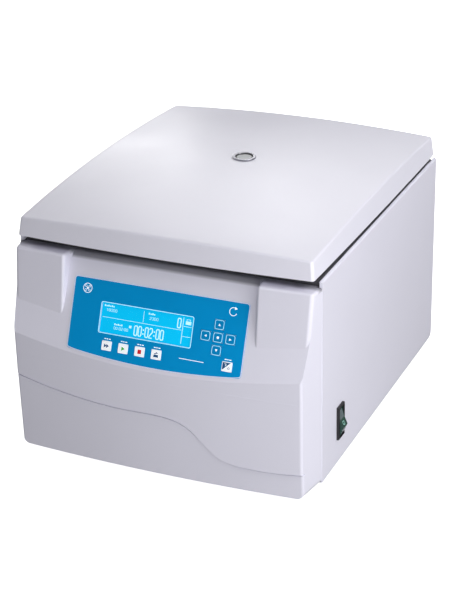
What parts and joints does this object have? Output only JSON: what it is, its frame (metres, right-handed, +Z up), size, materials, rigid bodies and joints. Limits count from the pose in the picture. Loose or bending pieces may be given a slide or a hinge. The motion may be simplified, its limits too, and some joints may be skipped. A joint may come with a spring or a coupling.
{
  "type": "laboratory centrifuge",
  "caption": "Bench laboratory centrifuge with a domed hinged lid over a steel chamber and swing-out rotor, a sloping keypad panel and a side mains switch",
  "frame": {"origin": "on the supporting surface, under the middle of the overall box", "axes": "+Z up, the control panel faces -Y, +X is to the right as seen from the front"},
  "size_m": [0.4414, 0.5321, 0.35],
  "materials": {
    "body_plastic": "pale lavender-grey, fine satin",
    "overlay_film": "blue film",
    "window_clear": "clear",
    "display_blue": "backlit blue",
    "board_green": "circuit board",
    "key_light": "light key",
    "key_blue": "blue key",
    "body_sheet": "pale lavender-grey powder coat",
    "base_sheet": "grey paint",
    "rubber_black": "matt",
    "deck_plastic": "charcoal",
    "steel_bright": "spun",
    "steel_plain": "plain",
    "alloy": "machined",
    "alloy_dark": "anodised",
    "lid_plastic": "pale lavender-grey, satin sheen",
    "chrome_trim": "polished",
    "clear_glass": "clear",
    "black_plastic": "black",
    "rocker_green": "dark green, translucent"
  },
  "bodies": {
    "machine": {"front_panel": "body_plastic", "control_overlay": "overlay_film", "display_window": "window_clear", "display_module": "display_blue", "control_board": "board_green", "side_panel_right": "body_sheet", "side_panel_left": "body_sheet", "release_plug": "body_plastic", "rear_panel": "body_sheet", "base_plate": "base_sheet", "feet": "rubber_black", "top_deck": "deck_plastic", "chamber_bowl": "steel_bright", "bowl_seal": "rubber_black", "guard_ring": "steel_plain", "motor_housing": "alloy", "shaft_boot": "rubber_black", "motor_bracket": "steel_plain", "motor_mounts": "rubber_black", "hinge_fixed_leaves": "steel_plain", "hinge_pins": "steel_bright", "lock_housing": "black_plastic", "lock_solenoid": "steel_plain", "switch_bezel": "black_plastic", "fan_frame": "black_plastic", "mains_inlet": "black_plastic", "fuse_holders": "black_plastic", "power_board": "board_green", "heat_sink": "alloy", "rear_screws": "steel_plain"},
    "lid": {"lid_cover": "lid_plastic", "lid_liner": "steel_bright", "lid_seal": "rubber_black", "port_ring": "chrome_trim", "port_glass": "clear_glass", "lid_striker": "steel_plain", "hinge_lid_leaves": "steel_plain"},
    "rotor": {"motor_shaft": "steel_plain", "rotor_yoke": "alloy_dark", "rotor_nut": "steel_bright"},
    "bucket_1_body": {"bucket_1": "alloy"},
    "bucket_2_body": {"bucket_2": "alloy"},
    "bucket_3_body": {"bucket_3": "alloy"},
    "bucket_4_body": {"bucket_4": "alloy"},
    "bolt": {"lock_bolt": "steel_bright"},
    "rocker": {"switch_rocker": "rocker_green"},
    "fan": {"fan_impeller": "black_plastic"},
    "key_fast_body": {"key_fast": "key_light"},
    "key_start_body": {"key_start": "key_light"},
    "key_stop_body": {"key_stop": "key_light"},
    "key_lid_body": {"key_lid": "key_light"},
    "key_up_body": {"key_up": "key_blue"},
    "key_left_body": {"key_left": "key_blue"},
    "key_set_body": {"key_set": "key_blue"},
    "key_right_body": {"key_right": "key_blue"},
    "key_down_body": {"key_down": "key_blue"},
    "key_back_body": {"key_back": "key_light"}
  },
  "joints": [
    {"name": "lid_hinge", "type": "hinge", "parent": "machine", "child": "lid", "pos_m": [0, 0.262, 0.304], "axis": [-1, 0, 0], "range_deg": [0, 80]},
    {"name": "rotor_spin", "type": "hinge", "parent": "machine", "child": "rotor", "pos_m": [0, 0.05, 0.205], "axis": [0, 0, 1], "continuous": true},
    {"name": "bucket_1_swing", "type": "hinge", "parent": "rotor", "child": "bucket_1_body", "pos_m": [0.062, 0.05, 0.205], "axis": [0, -1, 0], "range_deg": [0, 90]},
    {"name": "bucket_2_swing", "type": "hinge", "parent": "rotor", "child": "bucket_2_body", "pos_m": [0, 0.112, 0.205], "axis": [1, 0, 0], "range_deg": [0, 90]},
    {"name": "bucket_3_swing", "type": "hinge", "parent": "rotor", "child": "bucket_3_body", "pos_m": [-0.062, 0.05, 0.205], "axis": [0, 1, 0], "range_deg": [0, 90]},
    {"name": "bucket_4_swing", "type": "hinge", "parent": "rotor", "child": "bucket_4_body", "pos_m": [0, -0.012, 0.205], "axis": [-1, 0, 0], "range_deg": [0, 90]},
    {"name": "lock_slide", "type": "slide", "parent": "machine", "child": "bolt", "axis": [0, -1, 0], "range_m": [0, 0.011], "stiffness_N_per_m": 200},
    {"name": "key_fast_press", "type": "slide", "parent": "machine", "child": "key_fast_body", "axis": [0, 0.9239, -0.3827], "range_m": [0, 0.0006], "stiffness_N_per_m": 3000},
    {"name": "key_start_press", "type": "slide", "parent": "machine", "child": "key_start_body", "axis": [0, 0.9239, -0.3827], "range_m": [0, 0.0006], "stiffness_N_per_m": 3000},
    {"name": "key_stop_press", "type": "slide", "parent": "machine", "child": "key_stop_body", "axis": [0, 0.9239, -0.3827], "range_m": [0, 0.0006], "stiffness_N_per_m": 3000},
    {"name": "key_lid_press", "type": "slide", "parent": "machine", "child": "key_lid_body", "axis": [0, 0.9239, -0.3827], "range_m": [0, 0.0006], "stiffness_N_per_m": 3000},
    {"name": "key_up_press", "type": "slide", "parent": "machine", "child": "key_up_body", "axis": [0, 0.9239, -0.3827], "range_m": [0, 0.0006], "stiffness_N_per_m": 3000},
    {"name": "key_left_press", "type": "slide", "parent": "machine", "child": "key_left_body", "axis": [0, 0.9239, -0.3827], "range_m": [0, 0.0006], "stiffness_N_per_m": 3000},
    {"name": "key_set_press", "type": "slide", "parent": "machine", "child": "key_set_body", "axis": [0, 0.9239, -0.3827], "range_m": [0, 0.0006], "stiffness_N_per_m": 3000},
    {"name": "key_right_press", "type": "slide", "parent": "machine", "child": "key_right_body", "axis": [0, 0.9239, -0.3827], "range_m": [0, 0.0006], "stiffness_N_per_m": 3000},
    {"name": "key_down_press", "type": "slide", "parent": "machine", "child": "key_down_body", "axis": [0, 0.9239, -0.3827], "range_m": [0, 0.0006], "stiffness_N_per_m": 3000},
    {"name": "key_back_press", "type": "slide", "parent": "machine", "child": "key_back_body", "axis": [0, 0.9239, -0.3827], "range_m": [0, 0.0006], "stiffness_N_per_m": 3000},
    {"name": "rocker_tilt", "type": "hinge", "parent": "machine", "child": "rocker", "pos_m": [0.207, -0.144, 0.0725], "axis": [0, 1, 0], "range_deg": [0, 20]},
    {"name": "fan_spin", "type": "hinge", "parent": "machine", "child": "fan", "pos_m": [-0.14, 0.245, 0.19], "axis": [0, 1, 0], "continuous": true}
  ]
}
